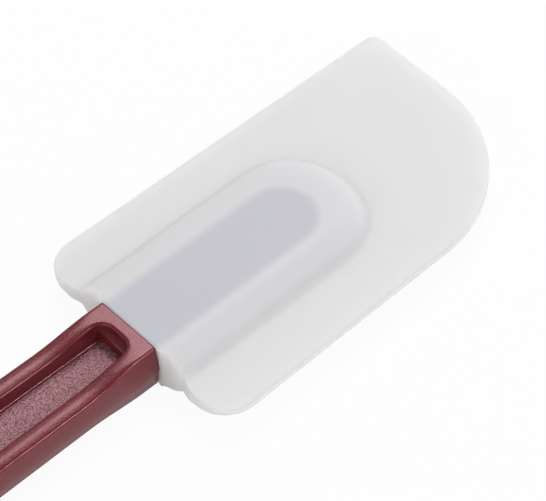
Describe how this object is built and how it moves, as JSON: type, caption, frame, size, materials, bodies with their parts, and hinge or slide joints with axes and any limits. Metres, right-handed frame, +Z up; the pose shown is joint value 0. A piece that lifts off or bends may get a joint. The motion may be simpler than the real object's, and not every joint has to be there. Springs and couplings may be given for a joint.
{
  "type": "silicone spatula",
  "caption": "Scraper spatula with a flexible off-white silicone blade, square at one tip corner and swept round at the other, moulded onto a recessed maroon nylon handle.",
  "frame": {"origin": "centre of the footprint, on the surface that the spatula lies on", "axes": "+X along the handle towards the blade's tip, +Y towards the square tip corner, +Z up through the thickness"},
  "size_m": [0.3419, 0.0698, 0.0144],
  "materials": {
    "handle_nylon": "satin, lightly metallic",
    "silicone": "satin, slightly translucent"
  },
  "bodies": {
    "root": {"handle": "handle_nylon", "blade": "silicone"}
  },
  "joints": []
}
